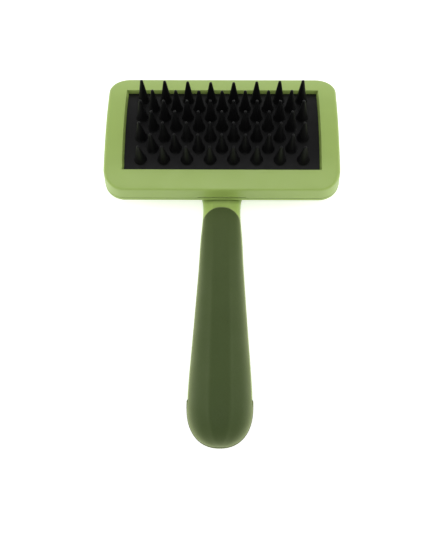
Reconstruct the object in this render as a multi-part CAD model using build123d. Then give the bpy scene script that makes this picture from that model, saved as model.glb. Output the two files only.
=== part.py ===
"""Hand-held grooming brush: a convex rubber pad of cones in a plastic head, on a soft-grip handle.

Row frame, in millimetres: X runs across the head, +Y points away from the handle and +Z is the
way the cones point. The origin is the middle of the flat back of the head, which the brush lies
on. The handle runs from the head along -Y.
"""
from build123d import *
import math
import os

# ---- Head ---------------------------------------------------------------------------------
HEAD_WIDTH = 102.0          # across, along X, at the gauge height
HEAD_DEPTH = 57.9           # along Y, at the gauge height
HEAD_CORNER = 8.9           # plan radius of the four corners
GAUGE_HEIGHT = 21.0         # height at which the walls measure width by depth
DRAFT = 3.0                 # degrees by which the frame's walls spread towards the seam
FACE_RADIUS = 71.0          # the face is part of a cylinder about an axis along X
FACE_TOP = 25.0             # height of the face's crown above the flat back
SEAM = 12.2                 # height of the seam between front frame and rear shell
EDGE_ROUND = 1.3            # rounding of the frame's outer front edge
SEAM_BREAK = 0.25           # bevel on both sides of the seam, which reads as a fine groove
PRY_SLOT = (21.0, 1.4, 0.65)  # slot at the seam above the neck: across, into the wall, high
WINDOW = (86.0, 41.7)       # opening of the frame where it meets the face
SKIN = 2.0                  # thickness of the frame's front skin
WINDOW_TAPER = 0.75         # how far the window's walls draw in through the skin
WINDOW_LAND = 0.1           # upright part at the foot of those walls
FRAME_WALL = 2.0            # thickness of the frame's side wall, at the gauge height

# ---- Rubber pad ---------------------------------------------------------------------------
PAD_THICKNESS = 1.7
PAD_FLANGE = 2.4            # how far the pad reaches behind the frame, past the window
CONE_ROWS = (8, 7, 8, 7, 8, 7, 8)
CONE_PITCH_X = 10.05        # between cones of one row
CONE_PITCH_ARC = 5.16       # between rows, along the curved face
CONE_BASE_RADIUS = 2.3
CONE_TIP_RADIUS = 0.65
CONE_HEIGHT = 12.3          # above the pad's face
FAR_ROW_CROWN = (0.8, 0.3)  # in the two far rows the end cones are taller, the middle ones shorter
CONE_ROOT = 0.7             # sunk into the sheet, so that cone and sheet are one moulding
CONE_FOOT = 0.5             # small flare where a cone leaves the sheet
CONE_LEAN = 0.5             # share of the face's slope that a cone's axis takes

# ---- Plate behind the pad -----------------------------------------------------------------
PLATE_THICKNESS = 1.8
PLATE_CLEARANCE = 1.6       # between the plate's rim and the frame's wall, where the lip stands
PLATE_CORNER = 6.0
PLATE_RIB_WALL = 1.4
PLATE_RIB_DROP = 3.0
PLATE_RIB_Y = (-17.0, 0.0, 17.0)
PLATE_RIB_X = (-41.0, 41.0)
PLATE_RIB_LENGTH = 83.4
PLATE_RIB_WIDTH = 35.4

# ---- Rear shell ---------------------------------------------------------------------------
RIM_HEIGHT = 1.65           # upright band of the rear shell just under the seam
BACK_INSET = 12.0           # how far the back draws in from the outline at z = 0
BACK_STEPS = (0.0, 0.25, 0.5, 0.75, 0.92, 1.0)
SHELL_WALL = 2.0
LIP_HEIGHT = 2.6            # lip of the rear shell that stands inside the frame
LIP_WALL = 1.2
LIP_CLEARANCE = 0.12
SNAP_X = (-32.0, 0.0, 32.0)  # snap beads along each long wall
SNAP_LENGTH = 6.0
SNAP_HEIGHT = 0.8
SNAP_PROUD = 0.5
SNAP_RISE = 1.0             # above the seam
SNAP_CLEARANCE = 0.15
POST_RIB_Y = (-8.5, 8.5)    # ribs that hold up the plate behind the pad
POST_RIB_LENGTH = 66.0
POST_RIB_WALL = 1.6
POST_X = 36.0               # four round posts under the plate, outside its ribs
POST_Y = 21.0
POST_RADIUS = 2.2

# ---- Handle -------------------------------------------------------------------------------
# Cross-sections from the head to the start of the rounded butt: distance along Y, half the
# width, height of the widest line, rise above it, depth below it, and squareness (2 = ellipse).
HANDLE_SECTIONS = (
    (-14.0, 10.20, 4.20, 4.20, 3.90, 3.2),
    (-26.5, 8.78, 4.40, 4.70, 4.10, 3.0),
    (-33.0, 8.20, 5.10, 5.40, 4.50, 2.8),
    (-46.0, 8.93, 6.80, 6.60, 5.40, 2.4),
    (-58.0, 9.40, 7.80, 7.55, 5.90, 2.3),
    (-70.0, 10.00, 8.60, 8.40, 6.45, 2.2),
    (-94.0, 11.42, 9.40, 9.70, 7.90, 2.1),
    (-110.0, 12.46, 9.60, 10.20, 8.95, 2.0),
    (-121.5, 12.80, 9.60, 10.20, 9.15, 2.0),
)
BUTT_LENGTH = 16.2          # from the last section to the end
BUTT_SQUARENESS = 2.3       # of the rounding in plan and side view, 2 being an ellipse
BUTT_ANGLES = (20.0, 36.0, 50.0, 63.0, 74.0, 82.0, 87.0)
SECTION_POINTS = 8          # spans of the curve over one half section
GRIP_THICKNESS = 1.4
FRONT_GRIP_PROUD = 0.2      # how far the soft grips stand above the hard core
REAR_GRIP_PROUD = 0.35
CORE_WALL = 2.0
SIDE_BAND = 3.1             # half height of the hard band left bare between the two grips
WRAP_START = -119.8         # from here to the butt the rear grip closes over the band
WRAP_RUN = 3.6              # over this length the front grip's edge falls to the middle line
FRONT_ARCH_CENTRE = -42.4   # the front grip ends in an arch on the neck
FRONT_ARCH = (8.9, 9.5)    # half width and length of that arch
REAR_ARCH_CENTRE = -46.0
REAR_ARCH = (8.9, 8.0)
HOLLOW_FIRST = 3            # the neck is solid, the hollow starts at this section

# ---- Screws that hold the handle's front shell down inside the head -----------------------
SCREW_X = 4.6
SCREW_Y = -19.5
SCREW_SEAT = 6.4            # height of the face that the heads bear on
SCREW_RADIUS = 1.1
SCREW_LENGTH = 4.6
SCREW_HEAD_RADIUS = 2.1
SCREW_HEAD_HEIGHT = 1.3
SCREW_RECESS_RADIUS = 0.9
SCREW_RECESS_DEPTH = 0.7
SCREW_CLEARANCE = 0.03
TONGUE_CLEARANCE = 0.08
SCREW_HOLE_SPARE = 0.2      # of the holes' depth and of the counterbores' radius
NECK_DISH_RADIUS = 14.0     # shallow round hollow in the neck where it meets the head's rim
NECK_DISH_DEPTH = 0.4
NECK_DISH_TOP = 9.7         # height of the neck there

FAR = 200.0                 # larger than the object, for cutting solids


def face_height(y, inset=0.0):
    """Height of the face, or of a surface a given distance inside it, at a place along Y."""
    radius = FACE_RADIUS - inset
    return FACE_TOP - FACE_RADIUS + math.sqrt(radius * radius - y * y)


def face_solid(inset=0.0):
    """The solid cylinder under the face, or under a surface inside it."""
    roll = Rot(0, 90, 0) * Cylinder(FACE_RADIUS - inset, FAR)
    return Pos(0, 0, FACE_TOP - FACE_RADIUS) * roll


def head_outline(inset, height, corner=None):
    """The head's outline at a height, drawn in by an inset."""
    radius = HEAD_CORNER - inset if corner is None else corner
    outline = RectangleRounded(HEAD_WIDTH - 2 * inset, HEAD_DEPTH - 2 * inset, radius)
    return Pos(0, 0, height) * outline


def head_prism(inset, bottom, top, corner=None):
    """Upright prism with the head's outline drawn in by an inset."""
    return extrude(head_outline(inset, bottom, corner), top - bottom)


def spread(height):
    """How far the frame's drafted wall stands outside the gauge outline at a height."""
    return (GAUGE_HEIGHT - height) * math.tan(math.radians(DRAFT))


def box_between(low, high):
    """Box from its lowest corner to its highest corner."""
    size = [high[i] - low[i] for i in range(3)]
    centre = [(high[i] + low[i]) / 2 for i in range(3)]
    return Pos(*centre) * Box(*size)


def window_half():
    """Half sizes of the window at the foot of its tapered walls."""
    return [size / 2 - WINDOW_TAPER for size in WINDOW]


# ---- Handle surfaces ----------------------------------------------------------------------
def handle_sections(inset):
    """The handle's sections, drawn in all round by an inset, with the rounded butt added."""
    rows = []
    for y, half, mid, rise, drop, square in HANDLE_SECTIONS:
        rows.append((y, half - inset, mid, rise - inset, drop - inset, square))
    y, half, mid, rise, drop, square = rows[-1]
    power = 2 / BUTT_SQUARENESS
    for angle in BUTT_ANGLES:
        shrink = math.cos(math.radians(angle)) ** power
        along = y - (BUTT_LENGTH - inset) * math.sin(math.radians(angle)) ** power
        rows.append((along, half * shrink, mid, rise * shrink, drop * shrink, square))
    return rows


def section_side(y, half, mid, rise, drop, square, side):
    """Right (side = 1) or left (side = -1) flank of one section, from the rear line to the front."""
    points = []
    for step in range(SECTION_POINTS + 1):
        angle = math.pi * (step / SECTION_POINTS - 0.5)
        across = abs(math.cos(angle)) ** (2 / square)
        up = math.copysign(abs(math.sin(angle)) ** (2 / square), angle)
        reach = rise if up > 0 else drop
        points.append((side * half * across, y, mid + reach * up))
    points[0] = (0, y, mid - drop)
    points[-1] = (0, y, mid + rise)
    return Spline(*points, tangents=[(side, 0, 0), (-side, 0, 0)])


def section_face(y, half, mid, rise, drop, square):
    """One whole section of the handle, across the Y axis."""
    shape = (y, half, mid, rise, drop, square)
    return make_face([section_side(*shape, 1), section_side(*shape, -1)])


def handle_body(inset=0.0):
    """The handle's whole outer form, drawn in all round by an inset."""
    return loft([section_face(*row) for row in handle_sections(inset)])


def handle_hollow():
    """The space inside the hard core, from the end of the solid neck to the butt."""
    inset = GRIP_THICKNESS + CORE_WALL
    faces = []
    for y, half, mid, rise, drop, square in HANDLE_SECTIONS[HOLLOW_FIRST:]:
        faces.append(section_face(y, half - inset, mid, rise - inset, drop - inset, square))
    return loft(faces)


def parting_line(offset=0.0):
    """The handle's widest line in the YZ plane, raised by an offset, up to the wrap."""
    points = [(0, HANDLE_SECTIONS[0][0] + 1, HANDLE_SECTIONS[0][2] + offset)]
    for row in HANDLE_SECTIONS[1:]:
        if row[0] > WRAP_START:
            points.append((0, row[0], row[2] + offset))
    points.append((0, WRAP_START, HANDLE_SECTIONS[-1][2] + offset))
    return Spline(*points)


def half_space(side):
    """Everything in front of (side = 1) or behind (side = -1) the handle's parting line."""
    line = parting_line()
    start = line @ 0
    end = line @ 1
    corners = [
        end,
        (0, -FAR, end.Z),
        (0, -FAR, side * FAR),
        (0, start.Y, side * FAR),
        start,
    ]
    profile = make_face([line, Polyline(*corners)])
    return extrude(profile, FAR / 2, dir=(1, 0, 0), both=True)


def grip_mask(side, arch_centre, arch):
    """Where a grip lies: beyond the bare side band, inside its arch, and all round the butt."""
    line = parting_line(side * SIDE_BAND)
    start = line @ 0
    end = line @ 1
    mid = HANDLE_SECTIONS[-1][2]
    corners = [end]
    if side < 0:
        corners.append((0, WRAP_START, mid + SIDE_BAND))
    corners += [
        (0, WRAP_START - WRAP_RUN, mid),
        (0, -FAR, mid),
        (0, -FAR, side * FAR),
        (0, start.Y, side * FAR),
        start,
    ]
    profile = make_face([line, Polyline(*corners)])
    slab = extrude(profile, FAR / 2, dir=(1, 0, 0), both=True)
    half_width, length = arch
    plan = Pos(0, arch_centre) * Ellipse(half_width, length)
    plan += Pos(0, arch_centre - FAR / 2) * Rectangle(FAR, FAR)
    return slab & (Pos(0, 0, -FAR) * extrude(plan, 2 * FAR))


def grip(side, proud, arch_centre, arch):
    """Soft grip moulded over one side of the handle."""
    skin = handle_body(-proud) - handle_body(GRIP_THICKNESS)
    return skin & grip_mask(side, arch_centre, arch)


def handle_core():
    """Hard core of the handle, hollow, with the seats of both grips cut into it."""
    bare = handle_body()
    bare -= grip_mask(1, FRONT_ARCH_CENTRE, FRONT_ARCH)
    bare -= grip_mask(-1, REAR_ARCH_CENTRE, REAR_ARCH)
    return bare + handle_body(GRIP_THICKNESS) - handle_hollow()


# ---- Head pieces --------------------------------------------------------------------------
def snap_blocks(inset, proud, length, low, high):
    """Blocks along both long walls where the frame snaps onto the rear shell's lip."""
    wall = HEAD_DEPTH / 2 - inset
    blocks = []
    for x in SNAP_X:
        for side in (-1, 1):
            edges = sorted((side * wall, side * (wall - proud)))
            lowest = (x - length / 2, edges[0], low)
            highest = (x + length / 2, edges[1], high)
            blocks.append(box_between(lowest, highest))
    return blocks


def head_frame():
    """Front frame of the head: convex skin with its window, drafted walls and snap beads."""
    top = FACE_TOP + 1
    sections = [head_outline(-spread(height), height) for height in (SEAM, top)]
    body = loft(sections, ruled=True) & face_solid()
    body = chamfer(body.faces().sort_by(Axis.Z)[0].edges(), SEAM_BREAK)
    body = fillet(body.faces().sort_by(Axis.Z)[-1].edges(), EDGE_ROUND)
    half_x, half_y = window_half()
    body -= box_between((-half_x, -half_y, 0), (half_x, half_y, FAR))
    crown = body.faces().filter_by(GeomType.CYLINDER).sort_by(SortBy.AREA)[-1]
    rim = []
    for edge in crown.edges():
        middle = edge.center()
        if abs(middle.X) < half_x + 1 and abs(middle.Y) < half_y + 1:
            rim.append(edge)
    body = chamfer(rim, WINDOW_TAPER, SKIN - WINDOW_LAND, reference=crown)
    body -= head_prism(FRAME_WALL, 0, FAR) & face_solid(SKIN)
    across, deep, high = PRY_SLOT
    wall = HEAD_DEPTH / 2 + spread(SEAM)
    body -= box_between((-across / 2, -wall - 1, 0), (across / 2, deep - wall, SEAM + high))
    low = SEAM + SNAP_RISE
    for block in snap_blocks(FRAME_WALL - 1, SNAP_PROUD + 1, SNAP_LENGTH, low, low + SNAP_HEIGHT):
        body += block
    return body


def cone(height):
    """One rubber cone on the Z axis, with the pad's face at z = 0."""
    centre = height - CONE_TIP_RADIUS
    slope = math.atan((CONE_BASE_RADIUS - CONE_TIP_RADIUS) / centre)
    touch = (CONE_TIP_RADIUS * math.cos(slope), centre + CONE_TIP_RADIUS * math.sin(slope))
    bend = (slope + math.pi / 2) / 2
    shoulder = (CONE_TIP_RADIUS * math.cos(bend), centre + CONE_TIP_RADIUS * math.sin(bend))
    tip = (0, height)
    foot = (CONE_BASE_RADIUS + CONE_FOOT, 0)
    waist = (CONE_BASE_RADIUS, 2 * CONE_FOOT)
    lines = [
        Line((0, -CONE_ROOT), (foot[0], -CONE_ROOT)),
        Line((foot[0], -CONE_ROOT), foot),
        TangentArc(waist, foot, tangent=(waist[0] - touch[0], waist[1] - touch[1])),
        Line(waist, touch),
        ThreePointArc(touch, shoulder, tip),
        Line(tip, (0, -CONE_ROOT)),
    ]
    profile = make_face(lines)
    return revolve(Plane.XZ * profile, Axis.Z)


def cones():
    """All the cones, in staggered rows along the curved face."""
    radius = FACE_RADIUS - SKIN
    half_row = (max(CONE_ROWS) - 1) / 2 * CONE_PITCH_X
    placed = []
    for row, count in enumerate(CONE_ROWS):
        slope = ((len(CONE_ROWS) - 1) / 2 - row) * CONE_PITCH_ARC / radius
        y = radius * math.sin(slope)
        z = face_height(y, SKIN)
        lean = -math.degrees(slope) * CONE_LEAN
        crown = FAR_ROW_CROWN[row] if row < len(FAR_ROW_CROWN) else 0.0
        for column in range(count):
            x = (column - (count - 1) / 2) * CONE_PITCH_X
            height = CONE_HEIGHT + crown * (2 * abs(x) / half_row - 1)
            placed.append(Pos(x, y, z) * Rot(lean, 0, 0) * cone(height))
    return placed


def rubber_pad():
    """Black rubber pad: a curved sheet with all its cones, one moulding."""
    half_x, half_y = window_half()
    outline = RectangleRounded(2 * (half_x + PAD_FLANGE), 2 * (half_y + PAD_FLANGE), PAD_FLANGE)
    sheet = extrude(outline, FAR) & (face_solid(SKIN) - face_solid(SKIN + PAD_THICKNESS))
    return sheet + cones()


def support_plate():
    """Curved plate behind the pad, stiffened by ribs, which holds the pad to the frame."""
    depth = SKIN + PAD_THICKNESS
    rim = FRAME_WALL + PLATE_CLEARANCE
    upper = face_solid(depth)
    under = face_solid(depth + PLATE_THICKNESS)
    plate = head_prism(rim, 0, FAR, PLATE_CORNER) & (upper - under)
    ribs = []
    for y in PLATE_RIB_Y:
        ribs.append(Pos(0, y) * Box(PLATE_RIB_LENGTH, PLATE_RIB_WALL, FAR))
    for x in PLATE_RIB_X:
        ribs.append(Pos(x, 0) * Box(PLATE_RIB_WALL, PLATE_RIB_WIDTH, FAR))
    band = face_solid(depth + 1) - face_solid(depth + PLATE_THICKNESS + PLATE_RIB_DROP)
    for rib in ribs:
        plate += rib & band & box_between((-FAR, -FAR, 0), (FAR, FAR, FAR))
    return plate


def back_form(inset, rise):
    """The domed back of the head, drawn in and lifted, as a solid up to the rim."""
    top = SEAM - RIM_HEIGHT
    sections = []
    for step in BACK_STEPS:
        draw = inset + BACK_INSET * (1 - math.sqrt(1 - step))
        sections.append(head_outline(draw, top * (1 - step) + rise, HEAD_CORNER - inset))
    return loft(sections)


def head_back():
    """Rear half of the head: domed shell, rim, lip, and the supports for the plate."""
    top = SEAM - RIM_HEIGHT
    proud = spread(SEAM)
    outside = back_form(-proud, 0) + head_prism(-proud, top, SEAM)
    outside = chamfer(outside.faces().sort_by(Axis.Z)[-1].edges(), SEAM_BREAK)
    lip_inset = FRAME_WALL + LIP_CLEARANCE
    inner = lip_inset + LIP_WALL
    cavity = back_form(inner, SHELL_WALL) + head_prism(inner, top + SHELL_WALL, FAR)
    shell = outside - cavity
    lip = head_prism(lip_inset, SEAM - RIM_HEIGHT, SEAM + LIP_HEIGHT)
    lip -= head_prism(inner, 0, FAR)
    low = SEAM + SNAP_RISE - SNAP_CLEARANCE
    high = SEAM + SNAP_RISE + SNAP_HEIGHT + SNAP_CLEARANCE
    for slot in snap_blocks(FRAME_WALL, 2 * LIP_WALL, SNAP_LENGTH + 2 * SNAP_CLEARANCE, low, high):
        lip -= slot
    shell += lip
    supports = [Pos(0, y) * Box(POST_RIB_LENGTH, POST_RIB_WALL, FAR) for y in POST_RIB_Y]
    for x in (-POST_X, POST_X):
        for y in (-POST_Y, POST_Y):
            supports.append(Pos(x, y) * Cylinder(POST_RADIUS, FAR))
    under_plate = face_solid(SKIN + PAD_THICKNESS + PLATE_THICKNESS)
    within = outside + head_prism(inner, SEAM - RIM_HEIGHT, FACE_TOP)
    for support in supports:
        shell += support & within & under_plate
    return shell


# ---- Handle pieces ------------------------------------------------------------------------
def screw_places():
    """The two places where a screw stands, on the face that its head bears on."""
    return [Pos(x, SCREW_Y, SCREW_SEAT) for x in (-SCREW_X, SCREW_X)]


def screw_drill():
    """The hole and the counterbore for one screw, with the bearing face at z = 0."""
    down = (Align.CENTER, Align.CENTER, Align.MAX)
    up = (Align.CENTER, Align.CENTER, Align.MIN)
    hole = Cylinder(SCREW_RADIUS + SCREW_CLEARANCE, SCREW_LENGTH + SCREW_HOLE_SPARE, align=down)
    return hole + Cylinder(SCREW_HEAD_RADIUS + SCREW_HOLE_SPARE, FAR, align=up)


def neck_screws():
    """Two pan-head self-tapping screws, as a group of separate solids."""
    down = (Align.CENTER, Align.CENTER, Align.MAX)
    up = (Align.CENTER, Align.CENTER, Align.MIN)
    shank = Cylinder(SCREW_RADIUS, SCREW_LENGTH, align=down)
    head = Cylinder(SCREW_HEAD_RADIUS, SCREW_HEAD_HEIGHT, align=up)
    head = fillet(head.edges().sort_by(Axis.Z)[-1], SCREW_HEAD_HEIGHT / 2)
    socket = Pos(0, 0, SCREW_HEAD_HEIGHT - SCREW_RECESS_DEPTH) * RegularPolygon(SCREW_RECESS_RADIUS, 6)
    screw = shank + head - extrude(socket, SCREW_HEAD_HEIGHT)
    return Compound(children=[place * screw for place in screw_places()])


def neck_dish():
    """The ball that hollows the neck out a little where it meets the head's rim."""
    wall = HEAD_DEPTH / 2 + spread(SEAM)
    centre = NECK_DISH_TOP + NECK_DISH_RADIUS - NECK_DISH_DEPTH
    return Pos(0, -wall, centre) * Sphere(NECK_DISH_RADIUS)


def handle_front_shell(core):
    """Front half of the handle's hard core; its root lies inside the head under two screws."""
    shell = core & half_space(1)
    for place in screw_places():
        shell -= place * screw_drill()
    return shell - neck_dish()


def rear_shell(core):
    """Rear of the head, neck and handle in one moulding."""
    root_space = handle_body(-TONGUE_CLEARANCE) & half_space(1)
    shell = head_back() - root_space
    shell += core & half_space(-1)
    for place in screw_places():
        shell -= place * screw_drill()
    return shell


def write_parts():
    """Write one STEP file for each piece."""
    core = handle_core()
    pieces = {
        "head_frame": head_frame(),
        "rubber_pad": rubber_pad(),
        "support_plate": support_plate(),
        "rear_shell": rear_shell(core),
        "handle_front_shell": handle_front_shell(core),
        "neck_screws": neck_screws(),
        "front_grip": grip(1, FRONT_GRIP_PROUD, FRONT_ARCH_CENTRE, FRONT_ARCH),
        "rear_grip": grip(-1, REAR_GRIP_PROUD, REAR_ARCH_CENTRE, REAR_ARCH),
    }
    os.makedirs("parts", exist_ok=True)
    for name, shape in pieces.items():
        export_step(shape, f"parts/{name}.step")


if __name__ == "__main__":
    write_parts()
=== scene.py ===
import math

import bpy
from mathutils import Euler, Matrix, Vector

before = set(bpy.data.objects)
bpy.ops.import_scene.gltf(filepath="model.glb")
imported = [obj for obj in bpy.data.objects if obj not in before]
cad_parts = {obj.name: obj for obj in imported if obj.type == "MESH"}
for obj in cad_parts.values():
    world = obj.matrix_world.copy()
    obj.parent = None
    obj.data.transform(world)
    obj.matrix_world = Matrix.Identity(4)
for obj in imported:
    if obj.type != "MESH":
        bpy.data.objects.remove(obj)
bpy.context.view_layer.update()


# ---- Node helpers -------------------------------------------------------------------------
# Lengths are in metres and noise scales per metre. Noise lies mostly between NOISE_LOW and
# NOISE_HIGH, so those are spread over the whole range of whatever the noise drives.
NOISE_LOW = 0.3
NOISE_HIGH = 0.7
BEVEL_SAMPLES = 8
CORNER_SAMPLES = 12
EDGE_SHARP = 0.8            # cosine between rounded and true normal on an edge with full wear and painted highlight
EDGE_FLAT = 0.995           # and where the surface counts as flat
CORNER_DEEP = 0.55          # openness at which a corner gets the full painted shade
CORNER_OPEN = 0.97          # and at which it gets none
MIX_INPUTS = (6, 7)         # sockets of the Mix node's two colours
MIX_OUTPUT = 2              # and of its resulting colour


class Material:
    """A node material with short ways to add nodes to it."""

    def __init__(self, name):
        self.material = bpy.data.materials.new(name)
        self.material.use_nodes = True
        self.tree = self.material.node_tree
        self.shader = self.tree.nodes["Principled BSDF"]
        self.place = self.node("ShaderNodeTexCoord").outputs["Object"]

    def node(self, kind, **properties):
        """Add a node and set its properties."""
        node = self.tree.nodes.new(kind)
        for name, value in properties.items():
            setattr(node, name, value)
        return node

    def link(self, source, target):
        self.tree.links.new(source, target)

    def noise(self, scale, detail=2.0, roughness=0.5, stretch=(1, 1, 1)):
        """Noise over the piece, coarser along the axes with the smaller stretch."""
        mapping = self.node("ShaderNodeMapping")
        mapping.inputs["Scale"].default_value = stretch
        self.link(self.place, mapping.inputs["Vector"])
        node = self.node("ShaderNodeTexNoise")
        node.inputs["Scale"].default_value = scale
        node.inputs["Detail"].default_value = detail
        node.inputs["Roughness"].default_value = roughness
        self.link(mapping.outputs["Vector"], node.inputs["Vector"])
        return node.outputs["Fac"]

    def ranged(self, value, low, high, start=NOISE_LOW, end=NOISE_HIGH):
        """A value between start and end, spread to between low and high."""
        node = self.node("ShaderNodeMapRange")
        node.inputs["From Min"].default_value = start
        node.inputs["From Max"].default_value = end
        node.inputs["To Min"].default_value = low
        node.inputs["To Max"].default_value = high
        self.link(value, node.inputs["Value"])
        return node.outputs["Result"]

    def maths(self, operation, first, second):
        """Arithmetic on two values, each a number or another node's output."""
        node = self.node("ShaderNodeMath", operation=operation)
        for socket, value in zip(node.inputs, (first, second)):
            if isinstance(value, (int, float)):
                socket.default_value = value
            else:
                self.link(value, socket)
        return node.outputs[0]

    def mixed(self, factor, first, second):
        """From the first colour to the second, each a triple or another node's output."""
        node = self.node("ShaderNodeMix", data_type="RGBA")
        self.link(factor, node.inputs["Factor"])
        for place, colour in zip(MIX_INPUTS, (first, second)):
            socket = node.inputs[place]
            if isinstance(colour, tuple):
                socket.default_value = (*colour, 1)
            else:
                self.link(colour, socket)
        return node.outputs[MIX_OUTPUT]

    def rounded(self, radius):
        """The normal as it would be with all edges rounded to a radius."""
        node = self.node("ShaderNodeBevel", samples=BEVEL_SAMPLES)
        node.inputs["Radius"].default_value = radius
        return node.outputs["Normal"]

    def edges(self, normal):
        """0 on flat places, up to 1 where a rounded normal leaves the true one."""
        dot = self.node("ShaderNodeVectorMath", operation="DOT_PRODUCT")
        self.link(normal, dot.inputs[0])
        self.link(self.node("ShaderNodeNewGeometry").outputs["Normal"], dot.inputs[1])
        return self.ranged(dot.outputs["Value"], 1.0, 0.0, EDGE_SHARP, EDGE_FLAT)

    def corners(self, reach):
        """1 in the open, down to 0 deep in grooves and inner corners."""
        node = self.node("ShaderNodeAmbientOcclusion", samples=CORNER_SAMPLES)
        node.inputs["Distance"].default_value = reach
        return self.ranged(node.outputs["AO"], 0.0, 1.0, CORNER_DEEP, CORNER_OPEN)

    def bump(self, height, distance, normal=None):
        """Put bumps up to a distance high on the shader's normal."""
        node = self.node("ShaderNodeBump")
        node.inputs["Strength"].default_value = 1.0
        node.inputs["Distance"].default_value = distance
        self.link(height, node.inputs["Height"])
        if normal:
            self.link(normal, node.inputs["Normal"])
        self.link(node.outputs["Normal"], self.shader.inputs["Normal"])

    def colour(self, value):
        self.link(value, self.shader.inputs["Base Color"])

    def roughness(self, value):
        self.link(value, self.shader.inputs["Roughness"])

    def set(self, **values):
        """Set uniform values on the shader's own sockets."""
        for name, value in values.items():
            self.shader.inputs[name.replace("_", " ")].default_value = value


# ---- Materials ----------------------------------------------------------------------------
SHELL_EDGE = 0.0003         # radius over which the shell's edges look rounded
SHELL_SHADE_REACH = 0.0020       # reach of the painted shade out of its inner corners
SHELL_GRAIN = 0.000010
EDGE_POLISH = 0.08          # how much smoother the shell's worn edges are
FLOW_STRETCH = (0.25, 1.0, 1.0)     # flow marks run along X
INNER_GRAIN = 0.000015
PAD_GRAIN = 0.000018
GRIP_GRAIN = 0.000030
GRIP_EDGE = 0.0012          # radius over which the grip's edges look rounded
STEEL_SCUFF = 0.000006

# Colours of the shell's plastic: pale and deep parts of the drift, edges lightened by wear and a
# painted highlight, inner corners darkened as painted shade.
HEAD_GREENS = (
    (0.316, 0.444, 0.104),
    (0.298, 0.421, 0.096),
    (0.375, 0.500, 0.165),
    (0.190, 0.275, 0.060),
)
# Painted lighter than the head's set: painted light for the neck, which sits in the head's shade.
NECK_GREENS_PAINTED_LIGHTER = (
    (0.405, 0.545, 0.155),
    (0.390, 0.525, 0.145),
    (0.430, 0.560, 0.195),
    (0.310, 0.425, 0.115),
)


def shell_plastic(name, pale, deep, edge_wear_and_highlight, painted_shade):
    """Satin green: spark-eroded grain, flow marks, edges polished by handling and lightened as a
    painted highlight, painted shade in corners.
    """
    made = Material(name)
    drift = made.ranged(made.noise(45.0, detail=3.0), low=0.0, high=1.0)
    streaks = made.noise(90.0, detail=4.0, roughness=0.6, stretch=FLOW_STRETCH)
    flow = made.ranged(streaks, low=0.0, high=1.0)
    shade = made.mixed(made.maths("MULTIPLY", drift, flow), pale, deep)
    normal = made.rounded(SHELL_EDGE)
    edge = made.edges(normal)
    # Edges lighter: wear plus a painted highlight on the rounded edges.
    shade = made.mixed(edge, shade, edge_wear_and_highlight)
    # Painted shade: darker in inner corners, grooves, the seam and the window recess.
    shade = made.mixed(made.corners(SHELL_SHADE_REACH), painted_shade, shade)
    made.colour(shade)
    smear = made.ranged(made.noise(150.0, detail=4.0, roughness=0.6), low=0.34, high=0.46)
    gloss = made.maths("SUBTRACT", smear, made.maths("MULTIPLY", edge, EDGE_POLISH))
    made.roughness(gloss)
    made.bump(made.noise(4600.0, detail=2.0), SHELL_GRAIN, normal)
    made.set(Specular_IOR_Level=0.50)
    return made.material


def inner_plastic():
    """Plain black plastic, only seen when the head is opened."""
    made = Material("inner_plastic")
    shade = made.mixed(made.noise(80.0, detail=3.0), (0.018, 0.018, 0.019), (0.026, 0.026, 0.027))
    made.colour(shade)
    made.roughness(made.ranged(made.noise(200.0, detail=3.0), low=0.45, high=0.6))
    made.bump(made.noise(4000.0, detail=2.0), INNER_GRAIN)
    return made.material


def pad_rubber():
    """Black rubber: dull, a little bloom in patches, fine moulded skin."""
    made = Material("pad_rubber")
    bloom = made.ranged(made.noise(110.0, detail=4.0, roughness=0.6), low=0.0, high=1.0)
    shade = made.mixed(bloom, (0.0038, 0.0038, 0.0040), (0.0062, 0.0062, 0.0064))
    made.colour(shade)
    made.roughness(made.ranged(made.noise(320.0, detail=3.0), low=0.36, high=0.50))
    made.bump(made.noise(3600.0, detail=2.0), PAD_GRAIN)
    made.set(Specular_IOR_Level=0.14)
    return made.material


def grip_rubber():
    """Dark green soft-touch rubber: matt, pebbled finely, velvety at the edges."""
    made = Material("grip_rubber")
    drift = made.ranged(made.noise(60.0, detail=3.0), low=0.0, high=1.0)
    shade = made.mixed(drift, (0.028, 0.047, 0.0100), (0.033, 0.054, 0.0125))
    speck = made.ranged(made.noise(1500.0, detail=3.0, roughness=0.6), low=0.0, high=0.5)
    shade = made.mixed(speck, shade, (0.040, 0.064, 0.0160))
    made.colour(shade)
    made.roughness(made.ranged(made.noise(180.0, detail=4.0), low=0.52, high=0.66))
    made.bump(made.noise(3000.0, detail=3.0, roughness=0.6), GRIP_GRAIN, made.rounded(GRIP_EDGE))
    made.set(Specular_IOR_Level=0.14, Sheen_Weight=0.60, Sheen_Roughness=0.53)
    made.set(Sheen_Tint=(0.87, 1.0, 0.48, 1))
    return made.material


def screw_steel():
    """Zinc-plated steel with fine random scuffs."""
    made = Material("screw_steel")
    shade = made.mixed(made.noise(900.0), (0.55, 0.55, 0.57), (0.68, 0.68, 0.66))
    made.colour(shade)
    made.roughness(made.ranged(made.noise(1500.0), low=0.25, high=0.45))
    made.bump(made.noise(2500.0), STEEL_SCUFF)
    made.set(Metallic=1.0)
    return made.material


def dress():
    """Give every CAD piece its material."""
    shell = shell_plastic("shell_plastic", *HEAD_GREENS)
    # The core gets the lighter set as painted light for the neck.
    core = shell_plastic("core_plastic_painted_lighter", *NECK_GREENS_PAINTED_LIGHTER)
    grip = grip_rubber()
    wanted = {
        "head_frame": shell,
        "rubber_pad": pad_rubber(),
        "support_plate": inner_plastic(),
        "rear_shell": shell,
        "handle_front_shell": core,
        "neck_screws": screw_steel(),
        "front_grip": grip,
        "rear_grip": grip,
    }
    for name, material in wanted.items():
        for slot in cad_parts[name].material_slots:
            slot.material = material


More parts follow.
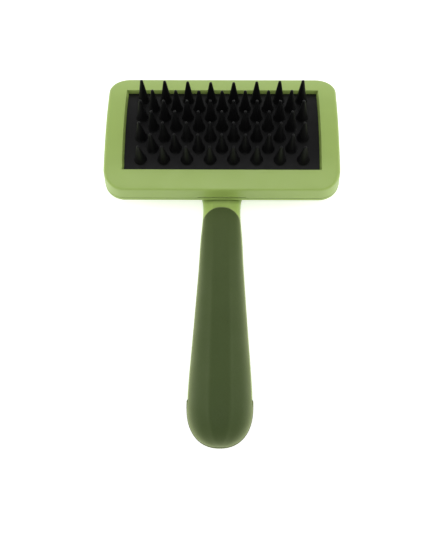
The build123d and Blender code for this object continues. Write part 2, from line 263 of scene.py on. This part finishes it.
# ---- Floor, light and camera --------------------------------------------------------------
FLOOR_REACH = 3.0           # from the middle to each side
FLOOR_GLOW = 0.60
ROOM_NEAR = 0.38            # brightness of the room behind the camera
ROOM_FAR = 0.92             # and beyond the head
LIGHT_TARGET = (0, -0.05, 0.02)
BOX_SIZE = 0.6
SOFTBOXES = (
    ("overhead", (0.0, -0.30, 0.87), 2.0),
    ("left", (-0.9, 0.05, 0.28), 2.7),
    ("right", (0.9, 0.05, 0.28), 2.5),
)


def floor():
    """Plain white paper that glows a little, so that it stays white under the brush."""
    mesh = bpy.data.meshes.new("floor")
    sides = ((-1, -1), (1, -1), (1, 1), (-1, 1))
    corners = [(x * FLOOR_REACH, y * FLOOR_REACH, 0) for x, y in sides]
    mesh.from_pydata(corners, [], [(0, 1, 2, 3)])
    made = Material("floor_paper")
    shade = made.mixed(made.noise(12.0), (0.79, 0.79, 0.79), (0.81, 0.81, 0.81))
    made.colour(shade)
    made.set(Roughness=0.9, Specular_IOR_Level=0.1)
    made.set(Emission_Color=(1, 1, 1, 1), Emission_Strength=FLOOR_GLOW)
    mesh.materials.append(made.material)
    plane = bpy.data.objects.new("floor", mesh)
    bpy.context.scene.collection.objects.link(plane)


def softbox(name, place, power):
    """Round area light aimed at the middle of the brush."""
    light = bpy.data.lights.new(name, "AREA")
    light.shape = "DISK"
    light.size = BOX_SIZE
    light.energy = power
    lamp = bpy.data.objects.new(name, light)
    lamp.location = place
    aim = Vector(LIGHT_TARGET) - Vector(place)
    lamp.rotation_euler = aim.to_track_quat("-Z", "Y").to_euler()
    bpy.context.scene.collection.objects.link(lamp)


def studio():
    """A white room, brighter beyond the head, with soft boxes overhead and at both sides."""
    world = bpy.data.worlds.new("studio")
    world.use_nodes = True
    tree = world.node_tree
    direction = tree.nodes.new("ShaderNodeTexCoord").outputs["Generated"]
    parts = tree.nodes.new("ShaderNodeSeparateXYZ")
    tree.links.new(direction, parts.inputs["Vector"])
    ramp = tree.nodes.new("ShaderNodeMapRange")
    ramp.inputs["From Min"].default_value = -1.0
    ramp.inputs["From Max"].default_value = 1.0
    ramp.inputs["To Min"].default_value = ROOM_NEAR
    ramp.inputs["To Max"].default_value = ROOM_FAR
    tree.links.new(parts.outputs["Y"], ramp.inputs["Value"])
    background = tree.nodes["Background"]
    background.inputs["Color"].default_value = (1, 1, 1, 1)
    tree.links.new(ramp.outputs["Result"], background.inputs["Strength"])
    bpy.context.scene.world = world
    for box in SOFTBOXES:
        softbox(*box)


# The camera stands over the handle and looks down along it at the head. Angles in degrees.
CAMERA_PLACE = (0.003941, -0.2135, 0.3353)
CAMERA_DOWN = 65.04         # below the horizon
CAMERA_YAW = 1.417
CAMERA_ROLL = -1.054
CAMERA_SENSOR = 36.0        # millimetres, as the lens
CAMERA_LENS = 57.07
CAMERA_SHIFT = -0.0123
CAMERA_NEAR = 0.01


def camera():
    """The camera, turned by its yaw, pitch and roll in that order."""
    data = bpy.data.cameras.new("camera")
    data.sensor_width = CAMERA_SENSOR
    data.lens = CAMERA_LENS
    data.shift_x = CAMERA_SHIFT
    data.clip_start = CAMERA_NEAR
    yaw = Euler((0, 0, math.radians(CAMERA_YAW))).to_matrix()
    pitch = Euler((math.radians(90 - CAMERA_DOWN), 0, 0)).to_matrix()
    roll = Euler((0, 0, math.radians(CAMERA_ROLL))).to_matrix()
    eye = bpy.data.objects.new("camera", data)
    eye.location = CAMERA_PLACE
    eye.rotation_euler = (yaw @ pitch @ roll).to_euler()
    bpy.context.scene.collection.objects.link(eye)
    bpy.context.scene.camera = eye


dress()
floor()
studio()
camera()
bpy.context.scene.view_settings.view_transform = "Standard"
